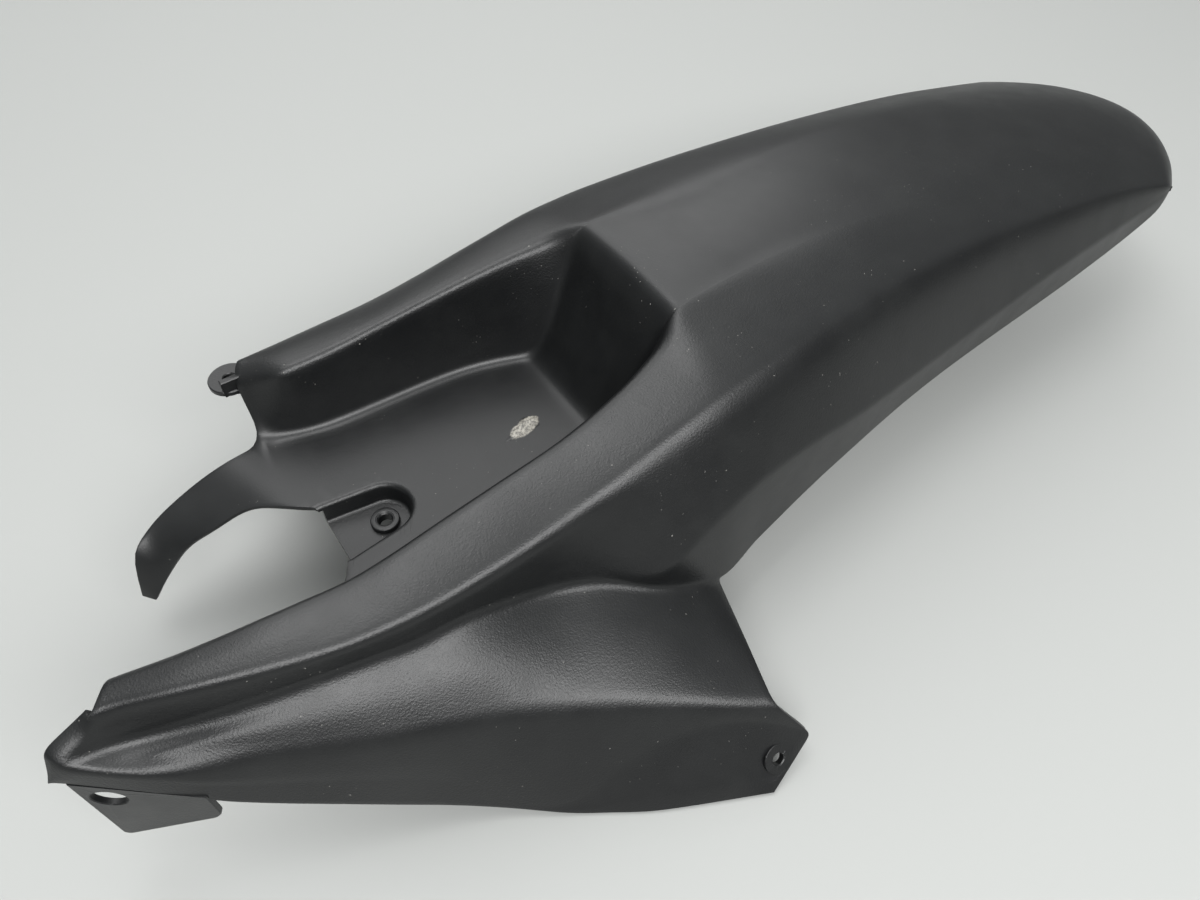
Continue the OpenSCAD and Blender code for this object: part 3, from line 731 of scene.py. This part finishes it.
def at_tab(point):
    upright = Matrix.Rotation(math.radians(90), 3, "X") @ point
    return Matrix.Rotation(-tab_turn, 3, "Z") @ upright + tab_spot


def tab_outline(inset, z):
    """The plate seen from outside: two top corners in the hem, a round heel and a round front corner"""
    points = [(inset, tab_top_front), (tab_len - inset, tab_top_back)]
    for k in range(9):
        turn = -math.radians(heel_turn) * k / 8
        points.append((tab_len - heel_r + (heel_r - inset) * math.cos(turn),
                       -heel_drop + (heel_r - inset) * math.sin(turn)))
    for k in range(7):
        turn = -math.radians(heel_turn + (180 - heel_turn) * k / 6)
        points.append((corner_r + (corner_r - inset) * math.cos(turn),
                       corner_r - tab_drop + (corner_r - inset) * math.sin(turn)))
    return [at_tab(Vector((x, y, z))) for x, y in points]


back, face = wall / 3 - tab_t, wall / 3
plate = [tab_outline(tab_soft, back), tab_outline(0, back + tab_soft), tab_outline(0, face - tab_soft),
         tab_outline(tab_soft, face)]
mould_with(lofted("nose_tab", plate), "UNION")


def at_grommet(point):
    return at_tab(point + Vector((*tab_hole, 0)))


bore("grommet_bore", tab_hole_d / 2, -3 * tab_t, face, 2 * tab_t, (0.4, 0.4), at_grommet)

# The scar of the gate, where the plastic was fed into the mould: a torn, paler nub on the pocket floor.
# Its rings are uneven, and it is drawn out into a low tail toward the front.
scar_spot = Vector((84, -4.2, -floor_drop))
scar_len, scar_w, scar_h = 6.6, 4.6, 1.1
scar_turn = math.radians(15)
scar_steps = 36
scar_rings = []
for level, share in ((-0.6, 1.0), (0.05, 1.0), (0.35, 0.86), (0.75, 0.62), (0.95, 0.3)):
    ring = []
    for k in range(scar_steps):
        turn = 2 * math.pi * k / scar_steps
        torn = 1 + 0.09 * math.sin(5 * turn + 9 * level) + 0.05 * math.sin(11 * turn + 17 * level)
        tail = 1 + 1.5 * max(0, -math.cos(turn)) ** 8
        lift = scar_h * level * (1 + 0.25 * math.sin(3 * turn + 4 * share)) / tail
        point = Vector((scar_len * share * torn * tail * math.cos(turn),
                        scar_w * share * torn * math.sin(turn), lift))
        ring.append(Matrix.Rotation(scar_turn, 3, "Z") @ point + scar_spot)
    scar_rings.append(ring)
mould_with(lofted("gate_scar", scar_rings), "UNION")

# The finish: black plastic with the satin grain of the mould, slightly paler patches and specks of dust.
# The torn plastic of the scar is grey, and the specks are rougher than the clean skin.
reflection = 0.38
plastic = bpy.data.materials.new("satin_black_plastic")
plastic.use_nodes = True
nodes, links = plastic.node_tree.nodes, plastic.node_tree.links
shader = nodes["Principled BSDF"]
shader.inputs["Specular IOR Level"].default_value = reflection
place = nodes.new("ShaderNodeTexCoord")


def noise(scale, detail, roughness=0.5):
    node = nodes.new("ShaderNodeTexNoise")
    node.inputs["Scale"].default_value = scale
    node.inputs["Detail"].default_value = detail
    node.inputs["Roughness"].default_value = roughness
    links.new(place.outputs["Object"], node.inputs["Vector"])
    return node.outputs["Fac"]


def between_values(value, low, high, to_low, to_high):
    """Turns the values from low to high into those from to_low to to_high"""
    node = nodes.new("ShaderNodeMapRange")
    for name, number in (("From Min", low), ("From Max", high), ("To Min", to_low), ("To Max", to_high)):
        node.inputs[name].default_value = number
    links.new(value, node.inputs["Value"])
    return node.outputs["Result"]


def combined(how, a, b):
    """The sum or the product of two values, each a number or a socket"""
    node = nodes.new("ShaderNodeMath")
    node.operation = how
    for socket, value in zip(node.inputs, (a, b)):
        if isinstance(value, (int, float)):
            socket.default_value = value
        else:
            links.new(value, socket)
    return node.outputs["Value"]


def mixed(share, a, b):
    """A mix of two colours, each a tuple or a socket; the node's colour sockets are 6, 7 and, going out, 2"""
    node = nodes.new("ShaderNodeMix")
    node.data_type = "RGBA"
    links.new(share, node.inputs["Factor"])
    for socket, value in ((node.inputs[6], a), (node.inputs[7], b)):
        if isinstance(value, tuple):
            socket.default_value = (*value, 1)
        else:
            links.new(value, socket)
    return node.outputs[2]


black = (0.0038, 0.0041, 0.0044)
worn_black = (0.0058, 0.0062, 0.0064)
dust_grey = (0.2, 0.195, 0.18)
torn_grey = (0.3, 0.285, 0.25)
patches = noise(28, 3, 0.6)
specks = between_values(noise(700, 1), 0.755, 0.79, 0, 0.7)
dusty = combined("MULTIPLY", specks, between_values(noise(45, 2), 0.52, 0.64, 0, 1))
tone = mixed(between_values(patches, 0.4, 0.7, 0, 1), black, worn_black)
tone = mixed(dusty, tone, dust_grey)

# The torn plastic of the gate scar is paler than the skin round it
pale_middle = scar_spot + Vector((-2.5, -0.7, 0.6))
pale_reach = (0.0095, 0.0046, 0.0022)
at_scar = nodes.new("ShaderNodeMapping")
at_scar.vector_type = "TEXTURE"
at_scar.inputs["Location"].default_value = placed(pale_middle)
at_scar.inputs["Rotation"].default_value = (0, 0, scar_turn)
at_scar.inputs["Scale"].default_value = pale_reach
links.new(place.outputs["Object"], at_scar.inputs["Vector"])
to_scar = nodes.new("ShaderNodeVectorMath")
to_scar.operation = "LENGTH"
links.new(at_scar.outputs["Vector"], to_scar.inputs[0])
ragged = combined("ADD", to_scar.outputs["Value"], combined("MULTIPLY", noise(300, 2), 0.5))
near_scar = between_values(ragged, 1.15, 1.3, 1, 0)
torn = combined("MULTIPLY", near_scar, between_values(noise(700, 3, 0.7), 0.36, 0.6, 0.25, 1))
tone = mixed(torn, tone, torn_grey)
links.new(tone, shader.inputs["Base Color"])

rough = between_values(noise(55, 4, 0.6), 0.3, 0.7, 0.34, 0.4)
rough = combined("ADD", rough, combined("MULTIPLY", dusty, 0.3))
links.new(rough, shader.inputs["Roughness"])

# The grain is relief too fine for the mesh, by the share that the skin's grain attribute gives
pebble_scale = 900
grain_strength = 0.35
grain_height = 0.00025
grain_share = nodes.new("ShaderNodeAttribute")
grain_share.attribute_name = "grain"
pebbles = nodes.new("ShaderNodeTexVoronoi")
pebbles.inputs["Scale"].default_value = pebble_scale
links.new(place.outputs["Object"], pebbles.inputs["Vector"])
relief = combined("ADD", combined("MULTIPLY", pebbles.outputs["Distance"], 0.5), noise(1500, 2))
relief = combined("MULTIPLY", relief, grain_share.outputs["Fac"])
bump = nodes.new("ShaderNodeBump")
bump.inputs["Strength"].default_value = grain_strength
bump.inputs["Distance"].default_value = grain_height
links.new(relief, bump.inputs["Height"])
links.new(bump.outputs["Normal"], shader.inputs["Normal"])

smooth_angle = math.radians(38)
skin.data.materials.clear()
skin.data.materials.append(plastic)
bpy.ops.object.select_all(action="DESELECT")
skin.select_set(True)
bpy.context.view_layer.objects.active = skin
bpy.ops.object.shade_smooth_by_angle(angle=smooth_angle)
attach(skin, "root")
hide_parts("mudguard")

# The floor: a plain pale top of painted board, level with the lowest hem.
# It is bare, and it runs 30 m out on every side.
floor_side = 60
floor_grey = (0.277, 0.282, 0.274, 1)
floor_roughness = 0.7
bpy.ops.object.select_all(action="DESELECT")
bpy.ops.mesh.primitive_plane_add(size=floor_side, location=(0, 0, cad_box[0][2]))
floor = bpy.context.object
floor.name = "pale_floor"
bpy.ops.object.transform_apply(location=True)
floor_paint = bpy.data.materials.new("pale_floor_paint")
floor_paint.use_nodes = True
paint = floor_paint.node_tree.nodes["Principled BSDF"]
paint.inputs["Base Color"].default_value = floor_grey
paint.inputs["Roughness"].default_value = floor_roughness
floor.data.materials.append(floor_paint)

# The light: a room that is pale above and dark low down, with a panel overhead, one in front and one behind.
# The camera doesn't see the panels themselves.
world = bpy.data.worlds.new("room")
world.use_nodes = True
room_nodes, room_links = world.node_tree.nodes, world.node_tree.links
direction = room_nodes.new("ShaderNodeTexCoord")
upward = room_nodes.new("ShaderNodeSeparateXYZ")
room_links.new(direction.outputs["Generated"], upward.inputs["Vector"])
pale = room_nodes.new("ShaderNodeValToRGB")
room_links.new(upward.outputs["Z"], pale.inputs["Fac"])
pale.color_ramp.elements[0].color = (0.1, 0.103, 0.105, 1)
pale.color_ramp.elements[1].color = (1.45, 1.47, 1.47, 1)
for where, glow in ((0.1, 0.1), (0.34, 0.38), (0.7, 0.8), (0.9, 1.05)):
    pale.color_ramp.elements.new(where).color = (0.97 * glow, glow, glow, 1)
room_links.new(pale.outputs["Color"], room_nodes["Background"].inputs["Color"])
bpy.context.scene.world = world


def soft_panel(name, spot, wide, deep, glow, aim):
    """A lamp of the given size whose face has the given radiance"""
    bpy.ops.object.light_add(type="AREA", location=spot)
    lamp = bpy.context.object
    lamp.name = name
    lamp.data.shape = "RECTANGLE"
    lamp.data.size = wide
    lamp.data.size_y = deep
    lamp.data.energy = glow * 4 * wide * deep
    lamp.visible_camera = False
    lamp.rotation_euler = (Vector(aim) - Vector(spot)).to_track_quat("-Z", "Y").to_euler()


soft_panel("overhead_panel", (-0.05, 0.15, 1.5), 0.7, 0.7, 5.2, (0, 0, 0))
soft_panel("front_panel", (-0.2, -1.25, 1.15), 1.9, 0.6, 10.5, (0.05, -0.1, 0))
soft_panel("rear_panel", (0.6, 1.3, 1.5), 2.2, 1.8, 1.8, (0.2, 0, 0))

bpy.context.scene.view_settings.view_transform = "Standard"
